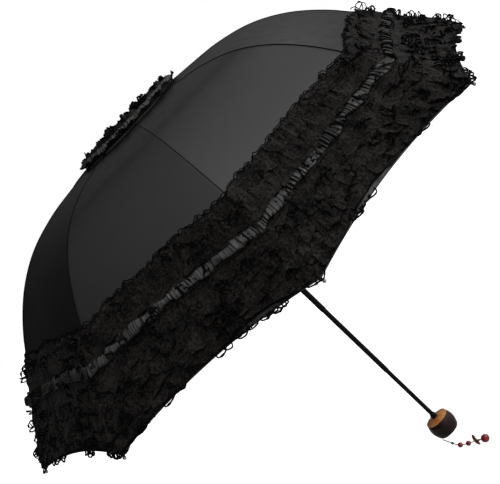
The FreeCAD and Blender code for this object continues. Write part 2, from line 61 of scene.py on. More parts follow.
# Cover line over a rib: share of the rim radius, share of the crown height.
COVER_LINE = [(0.0, 1.0), (0.14, 0.994), (0.277, 0.974), (0.388, 0.949), (0.505, 0.890), (0.612, 0.785),
              (0.707, 0.640), (0.796, 0.458), (0.892, 0.246), (1.0, 0.0)]
SCALLOP = 0.027        # how far the rim between two ribs stays short, as a share of the rib's arc
FIRST_FOLD = 0.284     # elbows of the ribs, as shares of the arc
SECOND_FOLD = 0.543
FLOUNCE_TOP = 0.70     # lace flounce and its ribbon, as shares of the arc
RIBBON_MID = 0.815
RIBBON_HALF = 0.0160
RUFFLE_RADIUS = 0.083  # crown ruffle
SATIN_THICKNESS = 0.0004
SEAM_RADIUS = 0.0006   # sewn seam over a rib
HEM_RADIUS = 0.0011    # rolled hem at the rim
EDGE_SHADE_CORD_RADIUS = 0.0007   # edge of a frill; its dark cord colour is painted shade for the crease along it
RIM_EDGE = 0.9985      # line of the hem, as a share of the arc
APEX_INNER, APEX_OUTER = 0.005, 0.020   # satin disc round the ferrule


# ---------------------------------------------------------------------------------------------------------------------
# The curved sheet
# ---------------------------------------------------------------------------------------------------------------------
def cover_table():
    """Arc length, radius and height along a rib, from a smooth curve through COVER_LINE."""
    points = np.array(COVER_LINE)
    points = np.column_stack([points[:, 0] * RIM_RADIUS, RIM_Z + points[:, 1] * (CROWN_Z - RIM_Z)])
    before = np.vstack([points[1] * [-1, 1], points[:-1]])
    after = np.vstack([points[1:], 2 * points[-1] - points[-2]])
    tangents = (after - before) / 2
    steps = np.linspace(0, 1, 40, endpoint=False)[:, None]
    h00, h10 = 2 * steps**3 - 3 * steps**2 + 1, steps**3 - 2 * steps**2 + steps
    h01, h11 = -2 * steps**3 + 3 * steps**2, steps**3 - steps**2
    curve = [h00 * points[k] + h10 * tangents[k] + h01 * points[k + 1] + h11 * tangents[k + 1]
             for k in range(len(points) - 1)]
    curve = np.vstack(curve + [points[-1:]])
    arc = np.concatenate([[0], np.cumsum(np.hypot(*np.diff(curve, axis=0).T))])
    return arc / arc[-1], curve[:, 0], curve[:, 1], arc[-1]


ARC, ARC_R, ARC_Z, RIB_ARC = cover_table()


def on_rib(share):
    """Radius and height of the cover over a rib. Past the rim the line carries on straight."""
    inside = np.clip(share, 0, 1)
    beyond = (share - inside) * RIB_ARC
    slope = math.atan2(ARC_Z[-1] - ARC_Z[-8], ARC_R[-1] - ARC_R[-8])
    return (np.interp(inside, ARC, ARC_R) + beyond * math.cos(slope),
            np.interp(inside, ARC, ARC_Z) + beyond * math.sin(slope))


def sheet(across, along, lift=0.0):
    """Point of the cover. across counts gores from the first rib, so whole numbers are ribs;
    along is the share of the arc from the crown to the rim, and lift stands off the cloth."""
    across, along, lift = np.broadcast_arrays(np.asarray(across, float), along, lift)
    rib = np.floor(across)
    share = across - rib
    along = along * (1 - SCALLOP * 4 * share * (1 - share) * np.clip(along, 0, 1) ** 2)
    radius, height = on_rib(along)
    a, b = rib * GORE, (rib + 1) * GORE
    x = radius * ((1 - share) * np.cos(a) + share * np.cos(b))
    y = radius * ((1 - share) * np.sin(a) + share * np.sin(b))
    r0, z0 = on_rib(along - 0.004)
    r1, z1 = on_rib(along + 0.004)
    fall, run = z0 - z1, r1 - r0
    size = np.hypot(fall, run)
    turn = across * GORE
    normal = np.stack([fall / size * np.cos(turn), fall / size * np.sin(turn), run / size], -1)
    return np.stack([x, y, height], -1) + normal * lift[..., None]


def cover_normal(across, along, softness=0.3):
    """Unit normal of the taut cloth: between the flat facet of its gore and a round dome."""
    side = sheet(across + 0.012, along) - sheet(across - 0.012, along)
    down = sheet(across, along + 0.004) - sheet(across, along - 0.004)
    facet = np.cross(down, side)
    facet /= np.linalg.norm(facet, axis=-1, keepdims=True)
    dome = sheet(across, along, 1.0) - sheet(across, along)
    mixed = (1 - softness) * facet + softness * dome
    return mixed / np.linalg.norm(mixed, axis=-1, keepdims=True)


# ---------------------------------------------------------------------------------------------------------------------
# Mesh helpers
# ---------------------------------------------------------------------------------------------------------------------
def grid_quads(rows, columns, wrap=False):
    """Quads of a rows x columns grid of vertices; wrap joins the last column to the first."""
    last = columns if wrap else columns - 1
    i, j = np.meshgrid(np.arange(rows - 1), np.arange(last), indexing="ij")
    right = (j + 1) % columns
    quads = [i * columns + j, i * columns + right, (i + 1) * columns + right, (i + 1) * columns + j]
    return np.stack(quads, -1).reshape(-1, 4)


class Builder:
    """Collects grids and tubes, each with a material, and makes one mesh object of them."""

    def __init__(self):
        self.points, self.normals, self.quads, self.kinds, self.count = [], [], [], [], 0

    def add(self, points, quads, kind=0, normals=None):
        """Adds faces, with one kind or one for each. A vertex whose normal is zero is shaded from its faces."""
        self.points.append(np.asarray(points, float).reshape(-1, 3))
        self.normals.append(np.zeros_like(self.points[-1]) if normals is None else normals.reshape(-1, 3))
        self.quads.append(np.asarray(quads) + self.count)
        self.kinds.append(np.broadcast_to(np.asarray(kind, np.int32), len(quads)))
        self.count += len(self.points[-1])

    def grid(self, points, kind=0, wrap=False, normals=None):
        """Grid of points whose rows go outwards and whose columns go round: its faces look up."""
        quads = grid_quads(points.shape[0], points.shape[1], wrap=wrap)[:, ::-1]
        self.add(points, quads, kind, normals)

    def sheet_of_cloth(self, points, normals, thickness):
        """Closed sheet: an outer face, an inner face and a rim whose shading stays apart from theirs."""
        inner = points - normals * thickness
        self.grid(points, normals=normals)
        self.grid(inner[:, ::-1], normals=-normals[:, ::-1])
        for side in (np.s_[0, :], np.s_[-1, :], np.s_[:, 0], np.s_[:, -1]):
            self.grid(np.stack([points[side], inner[side]]))

    def tube(self, path, radius, kind=0, sides=4):
        """Open tube along a path; radius may vary along it."""
        path = np.asarray(path, float)
        ahead = np.roll(path, -1, 0) - np.roll(path, 1, 0)
        ahead[0], ahead[-1] = path[1] - path[0], path[-1] - path[-2]
        ahead /= np.linalg.norm(ahead, axis=1, keepdims=True) + 1e-12
        helper = np.where(np.abs(ahead[:, 2:3]) > 0.9, [[1.0, 0, 0]], [[0, 0, 1.0]])
        u = np.cross(ahead, helper)
        u /= np.linalg.norm(u, axis=1, keepdims=True) + 1e-12
        v = np.cross(ahead, u)
        turn = np.linspace(0, 2 * math.pi, sides, endpoint=False)
        radius = np.broadcast_to(radius, len(path))[:, None, None]
        ring = (u[:, None] * np.cos(turn)[None, :, None] + v[:, None] * np.sin(turn)[None, :, None]) * radius
        self.add(path[:, None] + ring, grid_quads(len(path), sides, wrap=True), kind)

    def build(self, name, materials):
        """Makes the object, smooth shaded, with one material slot for each kind."""
        points = np.vstack(self.points).astype(np.float32)
        quads = np.vstack(self.quads).astype(np.int32)
        mesh = bpy.data.meshes.new(name)
        mesh.vertices.add(len(points))
        mesh.vertices.foreach_set("co", points.ravel())
        mesh.loops.add(quads.size)
        mesh.loops.foreach_set("vertex_index", quads.ravel())
        mesh.polygons.add(len(quads))
        mesh.polygons.foreach_set("loop_start", np.arange(0, quads.size, 4, dtype=np.int32))
        mesh.polygons.foreach_set("loop_total", np.full(len(quads), 4, np.int32))
        mesh.polygons.foreach_set("material_index", np.concatenate(self.kinds))
        mesh.polygons.foreach_set("use_smooth", np.full(len(quads), True))
        mesh.update(calc_edges=True)
        normals = np.vstack(self.normals)
        if normals.any():
            mesh.normals_split_custom_set_from_vertices(normals.tolist())
        for material in materials:
            mesh.materials.append(material)
        made = bpy.data.objects.new(name, mesh)
        bpy.context.scene.collection.objects.link(made)
        return made


def waves(across, along, seed, octaves=4, scale=1.0):
    """Smooth repeatable noise on the cloth, from sums of tilted sines whose phase is bent by each other.
    across is in gores and along in shares of the arc; the pattern closes round the canopy."""
    source = np.random.default_rng(seed)
    total = np.zeros(np.broadcast(across, along).shape)
    weight = 0.0
    for octave in range(octaves):
        for _ in range(3):
            turns = round(source.uniform(3, 6) * scale * 2**octave * RIBS)
            rise = source.uniform(-1, 1) * 2 * math.pi * 9 * scale * 2**octave
            bend = source.uniform(0.5, 1.5)
            phase = source.uniform(0, 2 * math.pi)
            inner = bend * np.sin(rise * 1.7 * along + phase * 3 + 2 * math.pi * across * round(turns / 3) / RIBS)
            total = total + 0.6**octave * np.sin(2 * math.pi * across * turns / RIBS + rise * along + phase + inner)
            weight += 0.6**octave
    return total / weight * 1.8


# ---------------------------------------------------------------------------------------------------------------------
# Materials
# ---------------------------------------------------------------------------------------------------------------------
class Nodes:
    """Small wrapper for building a node material."""

    def __init__(self, name):
        self.material = bpy.data.materials.new(name)
        self.material.use_nodes = True
        self.tree = self.material.node_tree
        self.shader = self.tree.nodes["Principled BSDF"]
        self.place = self.make("ShaderNodeTexCoord").outputs["Object"]

    def make(self, kind, **inputs):
        node = self.tree.nodes.new(kind)
        for key, value in inputs.items():
            self.put(node, key.replace("_", " "), value)
        return node

    def put(self, node, key, value):
        if isinstance(value, bpy.types.NodeSocket):
            self.tree.links.new(value, node.inputs[key])
        else:
            node.inputs[key].default_value = value

    def set(self, **inputs):
        for key, value in inputs.items():
            self.put(self.shader, key.replace("_", " "), value)

    def stretched(self, scale, source=None):
        node = self.make("ShaderNodeMapping")
        self.put(node, "Vector", source or self.place)
        self.put(node, "Scale", scale)
        return node.outputs["Vector"]

    def noise(self, scale, detail=3.0, roughness=0.55, source=None):
        node = self.make("ShaderNodeTexNoise", Scale=scale, Detail=detail, Roughness=roughness)
        self.put(node, "Vector", source or self.place)
        return node.outputs["Fac"]

    def cells(self, scale, feature="DISTANCE_TO_EDGE"):
        node = self.make("ShaderNodeTexVoronoi", Scale=scale)
        node.feature = feature
        self.put(node, "Vector", self.place)
        return node.outputs["Distance"]

    def ramp(self, value, stops):
        node = self.make("ShaderNodeValToRGB", Fac=value)
        while len(node.color_ramp.elements) < len(stops):
            node.color_ramp.elements.new(0.5)
        for element, (position, colour) in zip(node.color_ramp.elements, stops):
            element.position = position
            element.color = (*colour, 1) if len(colour) == 3 else colour
        return node.outputs["Color"]

    def span(self, value, low, high, to_low, to_high):
        node = self.make("ShaderNodeMapRange", Value=value, From_Min=low, From_Max=high, To_Min=to_low, To_Max=to_high)
        return node.outputs["Result"]

    def math(self, kind, a, b):
        node = self.tree.nodes.new("ShaderNodeMath")
        node.operation = kind
        for socket, value in zip(node.inputs, (a, b)):
            if isinstance(value, bpy.types.NodeSocket):
                self.tree.links.new(value, socket)
            else:
                socket.default_value = value
        return node.outputs[0]

    def bump(self, height, strength, distance):
        node = self.make("ShaderNodeBump", Height=height, Strength=strength, Distance=distance)
        self.put(self.shader, "Normal", node.outputs["Normal"])


def grey(value):
    return (value, value, value)


def satin_material(name, dark, light, roughness):
    """Satin weave: fine crossing threads, soft puckers and slow tone changes."""
    n = Nodes(name)
    tone = n.noise(9.0, 2.0)
    n.set(Base_Color=n.ramp(tone, [(0.3, dark), (0.7, light)]))
    n.set(Roughness=n.span(n.noise(60.0, 3.0), 0.3, 0.7, roughness - 0.04, roughness + 0.05))
    facing = n.make("ShaderNodeLayerWeight", Blend=0.5).outputs["Facing"]
    n.set(Specular_IOR_Level=n.span(facing, 0.15, 0.60, 0.75, 0.10))
    thread_a = n.make("ShaderNodeTexWave", Scale=950.0, Distortion=0.6)
    n.put(thread_a, "Vector", n.place)
    thread_b = n.make("ShaderNodeTexWave", Scale=820.0, Distortion=0.6)
    thread_b.bands_direction = "Z"
    n.put(thread_b, "Vector", n.place)
    weave = n.math("ADD", thread_a.outputs["Fac"], thread_b.outputs["Fac"])
    puckers = n.noise(28.0, 2.0)
    n.bump(n.math("ADD", n.math("MULTIPLY", weave, 0.03), n.math("MULTIPLY", puckers, 1.0)), 0.25, 0.0010)
    return n.material


def lace_material(name, dark, light, hole):
    """Lace: a net of fine threads with open cells, denser flower patches and uneven dye."""
    n = Nodes(name)
    patch = n.noise(60.0, 3.0)
    net = n.cells(420.0)
    flower = n.cells(170.0)
    outline = n.span(flower, 0.03, 0.12, 1.0, 0.0)
    speckle = n.math("MULTIPLY", n.noise(240.0, 4.0, 0.7), n.noise(45.0, 2.0))
    holes = n.math("MULTIPLY", n.cells(310.0, "F1"), 0.45)
    tone = n.math("ADD", n.math("MULTIPLY", speckle, 1.3), n.math("ADD", holes, n.math("MULTIPLY", outline, 0.1)))
    n.set(Base_Color=n.ramp(tone, [(0.38, dark), (0.56, light), (0.80, tuple(3.2 * c for c in light))]))
    n.set(Roughness=0.85, Sheen_Weight=0.04, Sheen_Roughness=0.5, Specular_IOR_Level=0.12)
    threads = n.math("LESS_THAN", net, n.span(patch, 0.35, 0.62, hole, 0.9))
    n.set(Alpha=n.math("MAXIMUM", threads, n.math("LESS_THAN", flower, 0.08)))
    n.bump(n.math("ADD", n.noise(420.0, 4.0), n.math("MULTIPLY", patch, 2.0)), 0.7, 0.0009)
    return n.material


def cord_material(name, tone):
    n = Nodes(name)
    n.set(Base_Color=n.ramp(n.noise(90.0), [(0.3, tone), (0.7, tuple(2.2 * c for c in tone))]))
    n.set(Roughness=0.85, Specular_IOR_Level=0.08)
    n.bump(n.noise(1400.0, 2.0), 0.6, 0.0004)
    return n.material


def lacquer_material(name, dark, light, roughness, metallic=0.0, gloss=0.5):
    """Painted or plated tube: faint drawing lines along it and light handling wear."""
    n = Nodes(name)
    lines = n.noise(60.0, 4.0, source=n.stretched((12, 12, 0.6)))
    n.set(Base_Color=n.ramp(lines, [(0.35, dark), (0.75, light)]), Metallic=metallic)
    n.set(Roughness=n.span(n.noise(45.0, 4.0), 0.3, 0.75, roughness, roughness + 0.18), Specular_IOR_Level=gloss)
    n.bump(n.noise(900.0, 2.0), 0.08, 0.0003)
    return n.material


def plastic_material(name, tone, roughness):
    n = Nodes(name)
    n.set(Base_Color=n.ramp(n.noise(40.0), [(0.3, tone), (0.7, tuple(1.4 * c for c in tone))]))
    n.set(Roughness=n.span(n.noise(120.0, 4.0), 0.3, 0.7, roughness, roughness + 0.12), Specular_IOR_Level=0.2)
    n.bump(n.noise(1600.0, 2.0), 0.15, 0.0003)
    return n.material


def resin_material(name, stops, scale, roughness, glow=0.0, coat=1.0):
    """Cast resin or polished wood with flowing streaks under a clear coat."""
    n = Nodes(name)
    bent = n.noise(scale, 5.0, 0.6, source=n.stretched((1, 1, 0.35)))
    n.set(Base_Color=n.ramp(bent, stops), Roughness=roughness, Coat_Weight=coat, Coat_Roughness=0.06)
    n.set(Specular_IOR_Level=0.3)
    n.set(Subsurface_Weight=glow, Subsurface_Radius=(0.01, 0.004, 0.002), Subsurface_Scale=0.3)
    n.bump(n.noise(300.0, 3.0), 0.05, 0.0003)
    return n.material


SATIN = satin_material("cover_satin", (0.0075, 0.0070, 0.0070), (0.0110, 0.0102, 0.0102), 0.38)
RIBBON = satin_material("ribbon_satin", (0.0110, 0.0101, 0.0095), (0.0260, 0.0238, 0.0225), 0.38)
LACE = lace_material("lace_net", (0.0006, 0.0005, 0.0005), (0.0088, 0.0076, 0.0070), 0.18)
# Dark cord of the lace and the charm; the same colour is also painted shade in the ribbon's slits and along the
# frills' edges.
CORD_AND_SHADE = cord_material("lace_cord_and_shade", (0.0025, 0.0021, 0.002))
THREAD = cord_material("seam_thread", (0.004, 0.004, 0.0045))
TUBE = lacquer_material("tube_lacquer", (0.003, 0.0027, 0.0027), (0.008, 0.0072, 0.0070), 0.35, 0.0, 0.15)
STEEL = lacquer_material("rib_lacquer", (0.02, 0.02, 0.022), (0.06, 0.06, 0.065), 0.28, 0.6)
CHROME = lacquer_material("tip_nickel", (0.42, 0.41, 0.4), (0.62, 0.6, 0.58), 0.16, 1.0)
PLASTIC = plastic_material("black_nylon", (0.005, 0.005, 0.005), 0.38)
KNOB = resin_material("knob_resin", [(0.30, (0.006, 0.002, 0.002)), (0.5, (0.018, 0.006, 0.005)),
                                     (0.66, (0.045, 0.014, 0.008)), (0.8, (0.008, 0.003, 0.003))],
                      60.0, 0.25, 0.0, 0.05)
AMBER = resin_material("knob_amber", [(0.30, (0.48, 0.14, 0.022)), (0.5, (0.85, 0.30, 0.06)),
                                      (0.66, (0.95, 0.46, 0.15)), (0.8, (0.70, 0.22, 0.04))], 80.0, 0.3, 0.3, 0.3)
RED = resin_material("red_bead", [(0.3, (0.16, 0.008, 0.012)), (0.6, (0.42, 0.02, 0.03)), (0.8, (0.6, 0.08, 0.07))],
                     160.0, 0.08, 0.2)
COPPER = lacquer_material("flower_copper", (0.22, 0.05, 0.035), (0.55, 0.20, 0.13), 0.3, 0.5)
BRONZE = lacquer_material("stem_bronze", (0.10, 0.07, 0.02), (0.28, 0.20, 0.07), 0.3, 0.8)
BERRY = resin_material("berry_resin", [(0.3, (0.22, 0.01, 0.012)), (0.6, (0.5, 0.03, 0.03)), (0.8, (0.7, 0.1, 0.06))],
                       220.0, 0.12, 0.3)


def fold_with(piece, body):
    """Rides on a rib: parented to the rib's body, with a mesh of its own."""
    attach(piece, body)
    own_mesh(piece)


def across_rib(number, count):
    """Where the columns of a piece over rib number lie, from mid-gore to mid-gore."""
    return (number - 1) + np.linspace(-0.5, 0.5, count)


def fade_at_ends(across, number):
    """1 over most of a piece, falling to 0 at its two ends, where it meets the next piece."""
    return np.minimum(1, 16 * (0.5 - np.abs(across - number + 1)))


def thicken(piece, thickness):
    modifier = piece.modifiers.new("thickness", "SOLIDIFY")
    modifier.thickness = thickness
    modifier.offset = -1.0


def make_cover(number, zone, start, end, body):
    """Satin between two folds, from mid-gore to mid-gore, with the sewn seam over the rib."""
    build = Builder()
    across = across_rib(number, 61)
    along = np.linspace(start, end, max(8, int((end - start) * 180)))
    points = sheet(across[None, :], along[:, None])
    build.sheet_of_cloth(points, cover_normal(across[None, :], along[:, None]), SATIN_THICKNESS)
    line = sheet(np.full(len(along), number - 1.0), along, 0.0001)
    build.tube(line, SEAM_RADIUS, kind=1, sides=6)
    if end == 1.0:
        hem = sheet(across, np.full(len(across), RIM_EDGE), 0.0002)
        build.tube(hem, HEM_RADIUS, sides=6)
    piece = build.build(f"cover_{zone}_{number}", [SATIN, THREAD])
    fold_with(piece, body)
    return piece


def lace_relief(across, along):
    """Height of the crumpled lace ground over the satin."""
    from_ribbon = np.abs(along - RIBBON_MID) / 0.2
    depth = np.clip(0.25 + from_ribbon * 2.2, 0, 1)
    folds = waves(across, along, 11, 3, 1.0)
    ridges = 1 - np.abs(waves(across, along, 23, 4, 1.3))
    height = 0.0022 + depth * (0.0016 * folds + 0.0030 * ridges**3)
    rim = np.clip((1.0 - along) / 0.02, 0.15, 1)
    top = np.clip((along - FLOUNCE_TOP) / 0.015, 0.25, 1)
    return np.maximum(height, 0.0007) * rim * top


def drift(across, seed, scale):
    """Slow wander along an edge, between about -1 and 1, closing round the canopy."""
    return waves(across, np.zeros_like(across), seed, 2, scale)


def rim_rise(across):
    """Where the lower edge of the lace rises off the rim, between 0 and 1."""
    return np.clip(drift(across, 9, 0.3), 0, 1)


def ribbon_wander(across):
    """How far the ribbon and the frills beside it stray from their line, as a share of the arc."""
    at_ribs = np.cos(math.pi * across) ** 4
    return 0.013 * np.cos(3 * GORE * (across - 6.25)) - 0.006 * at_ribs + 0.002 * drift(across, 43, 0.25)


# Frills of the flounce: root, direction along the gore (-1 up, 1 down), width, folds per gore, lift of the
# root and height of the folds.
FRILLS = [(0.783, -1, 0.041, 9, 0.0016, 0.0034), (0.794, -1, 0.030, 12, 0.0024, 0.0044),
          (0.829, 1, 0.028, 13, 0.0014, 0.0034), (0.848, 1, 0.034, 11, 0.0016, 0.0056),
          (0.874, 1, 0.036, 10, 0.0016, 0.0070), (0.902, 1, 0.036, 9, 0.0016, 0.0076),
          (0.932, 1, 0.036, 10, 0.0016, 0.0070), (0.794, 1, 0.007, 21, 0.0046, 0.0026),
          (0.833, -1, 0.008, 19, 0.0044, 0.0026)]
HEADERS = (7, 8)          # frills that overlap the ribbon's edges
BESIDE = (1, 2, 3, 7, 8)  # frills that follow the ribbon
SCALLOP_DEPTH = 0.0045


def add_frill(build, number, order):
    """Gathered lace strip, sewn down at its root, with a free edge that stands up in uneven folds."""
    root, way, width, folds, lift, tall = FRILLS[order]
    across = across_rib(number, 361)
    level = np.linspace(0, 1, 10)[:, None]
    seed = 60 + 7 * order
    phase = 2 * math.pi * folds * across + 3.4 * drift(across, seed, 0.9) + order
    swell = 0.75 + 0.6 * drift(across, seed + 1, 0.6)
    if order == 0:
        reach = (width + SCALLOP_DEPTH * scallops(across)) * level
        swell = swell * (1 - 0.7 * level)
    elif order in HEADERS:
        wander = 1.3 * drift(across, seed + 3, 0.9) + 0.9 * drift(across, seed + 8, 3.5)
        reach = width * np.clip(0.9 + wander, 0.25, 2.2) * level
    else:
        reach = width * (0.92 + 0.16 * drift(across, seed + 3, 0.8) - 0.10 * np.cos(phase)) * level
    course = ribbon_wander(across) if order in BESIDE else 0.007 * drift(across, seed + 4, 0.4)
    along = root + course + way * reach / RIB_ARC
    along = np.minimum(along, RIM_EDGE - 0.020 * rim_rise(across))
    crumple = 0.0013 * waves(across, along, seed + 5, 2, 3.2) + 0.0017 * waves(across, along, seed + 6, 1, 1.6)
    stand = lift + tall * swell * (0.55 + 0.45 * np.sin(phase)) * level**1.15 + crumple * (0.35 + level)
    stand = np.maximum(stand, 0.0012 + 0 * level)
    gore = GORE * RIM_RADIUS * 0.9
    shift = (0.0052 * np.cos(phase + 0.6) + 0.0012 * np.sin(3 * phase)) * level / gore
    shift = shift * fade_at_ends(across, number)
    strip = sheet(across + shift, along, stand)
    build.grid(strip)
    # Painted shade: the free edge is a dark cord that stands for the shaded crease along it.
    build.tube(strip[-1], EDGE_SHADE_CORD_RADIUS, kind=1)
    if order == 0:
        # Painted shade: a second dark cord just inside the scalloped edge, rising with its small bumps.
        small = np.abs(np.sin(math.pi * across * 62 + 1.2 * drift(across, 34, 0.9)))
        edge = along[-1] - (0.0016 + 0.0012 * small) / RIB_ARC
        build.tube(sheet(across, edge, stand[-1] + 0.0006 * small), EDGE_SHADE_CORD_RADIUS, kind=1)


def scallops(across):
    """Uneven round scallops along the upper edge of the flounce, between 0 and 1."""
    return np.abs(np.sin(math.pi * across * 13 + 1.1 * drift(across, 33, 0.9)))


# Chains of thread loops on a gore: from and to as shares of the arc, number of chains, and 1 where they hang free.
PICOT_ZONES = ((0.725, 0.775, 7, 0.0), (0.815, 0.985, 30, 0.0), (0.996, 0.999, 7, 1.0))


def add_picots(build, number, source):
    """Chains of linked thread loops that stand out of the lace, and some that hang past the rim."""
    for low, high, count, hang in PICOT_ZONES:
        for _ in range(count):
            links = int(source.integers(1, 5))
            pitch = source.uniform(0.0050, 0.0085) * (1 + 0.5 * hang)
            course = source.uniform(-1.5, 1.5) * (1 - hang)
            first_a = (number - 1) + source.uniform(-0.46, 0.42)
            first_s = source.uniform(low, high)
            gore = GORE * float(on_rib(np.array(first_s))[0])
            for link in range(links):
                centre_a = first_a + link * pitch * math.cos(course) / gore
                centre_s = first_s + link * pitch * math.sin(course) / RIB_ARC * (1 - hang)
                heading = course + source.uniform(-0.7, 0.7) * (1 - hang)
                half = source.uniform(0.0030, 0.0060) * (1 + 0.5 * hang)
                tall = source.uniform(0.0040, 0.0125) * (1 - 0.3 * hang)
                lean = source.uniform(-0.005, 0.005)
                turn = np.linspace(0, math.pi, 13)
                wiggle = 0.0007 * np.sin(turn * source.uniform(3, 8) + link)
                side = -half * np.cos(turn) * (1 + 0.4 * np.sin(turn)) + lean * np.sin(turn) + wiggle
                path_a = centre_a + side * math.cos(heading) / gore
                path_a = np.clip(path_a, number - 1.5, number - 0.5)
                path_s = centre_s + (1 - hang) * (side * math.sin(heading) + lean * np.sin(turn)) / RIB_ARC
                path_s = np.minimum(path_s, 1.004) + hang * tall * np.sin(turn) / RIB_ARC
                lift = 0.0030 + tall * (1 - 0.8 * hang) * np.sin(turn)
                build.tube(sheet(path_a, path_s, lift), 0.00085 + 0.0002 * hang, kind=1)
                if link % 2 == 0:
                    knot = slice(5, 9)
                    build.tube(sheet(path_a[knot], path_s[knot], lift[knot]),
                               np.array([0.0008, 0.0016, 0.0016, 0.0008]), kind=1, sides=5)


def make_flounce(number):
    """Gathered lace from its scalloped upper edge down to the rim: a crumpled ground, frills and loops."""
    build = Builder()
    across = across_rib(number, 241)
    share = np.linspace(0, 1, 90)[:, None]
    top = FLOUNCE_TOP + 0.012
    bottom = 0.999 - 0.024 * rim_rise(across)
    along = top + (bottom - top) * share
    build.grid(sheet(across, along, lace_relief(across, along)))
    for order in range(len(FRILLS)):
        add_frill(build, number, order)
    add_picots(build, number, np.random.default_rng(100 + number))
    piece = build.build(f"flounce_{number}", [LACE, CORD_AND_SHADE])
    fold_with(piece, f"tail_rib_{number}")
    return piece


PLEATS = 50   # pleats of the ribbon per gore


def make_ribbon(number):
    """Gathered satin strip of sharp uneven pleats, bunched here and slack there; dark painted shade in the slits."""
    build = Builder()
    across = across_rib(number, 721)
    level = np.linspace(-1, 1, 11)[:, None]
    tight = np.clip(0.60 + 0.5 * np.tanh(2.5 * drift(across, 51, 0.9)), 0, 1)
    half = RIBBON_HALF * (0.90 + 0.26 * drift(across, 41, 0.9))
    centre = RIBBON_MID + ribbon_wander(across)
    along = centre + half * level
    slant = 0.9 * level * np.sin(across * 2 * math.pi * 3)
    phase = 2 * math.pi * across * PLEATS + 3.8 * drift(across, 47, 1.0) + slant
    closing = np.abs(np.sin(phase / 2 + 0.35 * drift(across, 53, 1.5)))
    slit = closing ** 0.35
    fine = 0.5 + 0.5 * np.sin(phase * 2.0 + 1.3) + 0.9 * drift(across, 58, 5.0)
    deep = 0.0010 + 0.0042 * tight
    height = 0.0044 + deep * slit * (1 - 0.15 * level**2) + 0.0015 * tight * fine
    height = height - 0.0018 * level**6
    shift = 0.0034 * np.cos(phase) * tight / (GORE * RIM_RADIUS * 0.8)
    shift = shift * fade_at_ends(across, number)
    # Painted shade: faces deep in the slits between pleats, where the ribbon is bunched, take the dark cord colour
    # instead of the satin.
    painted_shade_slit = closing < (0.28 + 0.34 * drift(across, 57, 2.0)) * np.clip(1.8 * tight, 0, 1)
    kind = painted_shade_slit[:-1, :-1].astype(int).ravel()
    build.grid(sheet(across + shift, along, height), kind)
    piece = build.build(f"ribbon_{number}", [RIBBON, CORD_AND_SHADE])
    thicken(piece, 0.0003)
    fold_with(piece, f"tail_rib_{number}")
    return piece


# Frills of the crown ruffle: seed, start and spread across the ring, rise, folds round the ring.
RUFFLE_FRILLS = [(71, 0.0030, 0.0062, 0.0072, 24), (76, -0.0020, -0.0050, 0.0130, 20),
                 (81, -0.0060, -0.0080, 0.0110, 26)]


def make_crown_ruffle(number):
    """Ring of gathered lace over the top ribs: a low outer frill, a satin band and two taller inner frills."""
    build = Builder()
    turn = (number - 1) * GORE + np.linspace(-GORE / 2, GORE / 2, 201)
    base = float(np.interp(RUFFLE_RADIUS, ARC_R, ARC_Z)) + 0.0012
    across = turn / GORE
    level = np.linspace(0, 1, 9)[:, None]
    for seed, start, spread, rise, folds in RUFFLE_FRILLS:
        phase = turn * folds + 1.1 * np.sin(5 * turn + seed)
        lump = 0.92 + 0.20 * np.sin(7 * turn + seed) + 0.12 * np.sin(11 * turn + 2 * seed)
        radius = RUFFLE_RADIUS + start + spread * level * (0.85 + 0.25 * np.sin(phase)) * lump
        height = base + rise * level**0.6 * lump * (0.62 + 0.46 * np.abs(np.cos(phase / 2)))
        height = height + 0.0009 * drift(across, seed + 4, 2.0) * level
        strip = np.stack([radius * np.cos(turn), radius * np.sin(turn), height], -1)
        build.grid(strip)
        build.tube(strip[-1], 0.0006)
    band = np.linspace(-1, 1, 11)[:, None]
    phase = turn * 64 + 2.6 * drift(across, 91, 0.9) + 0.8 * band
    tight = 0.5 + 0.5 * np.tanh(2.0 * drift(across, 92, 0.9))
    fold = np.abs(np.sin(phase / 2)) ** 0.6
    radius = RUFFLE_RADIUS + 0.0008 + 0.0032 * band + 0.0008 * fold * tight
    height = base + 0.0062 - 0.0030 * band + 0.0026 * fold * tight * (1 - 0.4 * band**2)
    build.grid(np.stack([radius * np.cos(turn), radius * np.sin(turn), height], -1), 1)
    piece = build.build(f"crown_ruffle_{number}", [LACE, RIBBON])
    fold_with(piece, f"top_rib_{number}")
    return piece


def make_apex():
    """Small satin disc under the crown cap, gathered round the ferrule."""
    build = Builder()
    turn = np.linspace(0, 2 * math.pi, 96, endpoint=False)
    radius = np.linspace(APEX_INNER, APEX_OUTER, 8)[:, None]
    gathers = 0.0004 * np.sin(turn * 16)[None, :] * (APEX_OUTER - radius) / (APEX_OUTER - APEX_INNER)
    height = CROWN_Z + SATIN_THICKNESS + gathers
    points = np.stack([radius * np.cos(turn), radius * np.sin(turn), height + 0 * radius], -1)
    build.grid(points, wrap=True)
    piece = build.build("cover_apex", [SATIN])
    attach(piece, "top_tube")


covers, flounces, ribbons, ruffles = [], [], [], []
for rib in range(1, RIBS + 1):
    covers.append(make_cover(rib, "top", 0.03, FIRST_FOLD, f"top_rib_{rib}"))
    covers.append(make_cover(rib, "middle", FIRST_FOLD, SECOND_FOLD, f"middle_rib_{rib}"))
    covers.append(make_cover(rib, "tail", SECOND_FOLD, 1.0, f"tail_rib_{rib}"))
    flounces.append(make_flounce(rib))
    ribbons.append(make_ribbon(rib))
    ruffles.append(make_crown_ruffle(rib))
make_apex()
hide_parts("canopy_cover")
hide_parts("lace_flounce")
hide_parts("ribbon_strip")
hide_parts("crown_ruffle")


